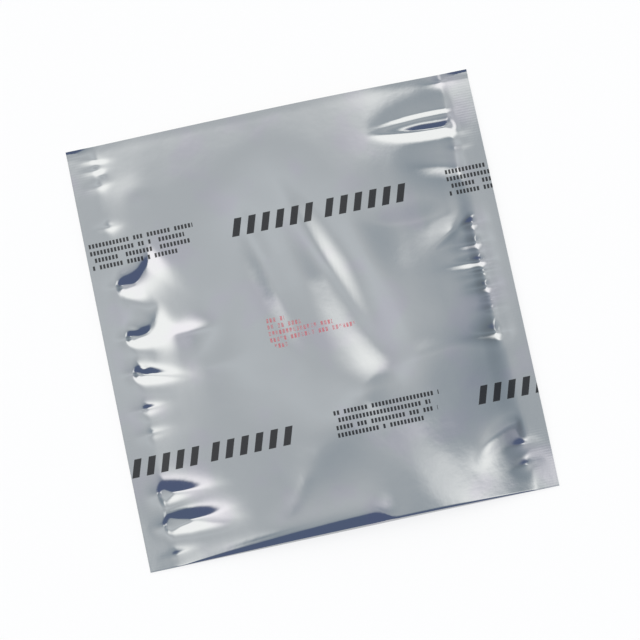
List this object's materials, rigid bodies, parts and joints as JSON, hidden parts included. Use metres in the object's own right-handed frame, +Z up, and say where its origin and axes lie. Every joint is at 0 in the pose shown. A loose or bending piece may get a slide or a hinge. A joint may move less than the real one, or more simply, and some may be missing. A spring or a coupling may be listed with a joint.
{
  "type": "anti static shielding bag",
  "caption": "Open-top static shielding bag of thin metallised film, folded at the bottom and heat welded down both sides, lying empty.",
  "frame": {"origin": "on the ground under the middle of the bag, which lies on its back panel", "axes": "+Z up through the thickness, +Y from the bottom fold to the open mouth, +X across the bag from weld to weld"},
  "size_m": [0.206, 0.214, 0.0097],
  "materials": {
    "film": "glossy metallised plastic film"
  },
  "bodies": {
    "root": {"film_pouch": "film"}
  },
  "joints": []
}
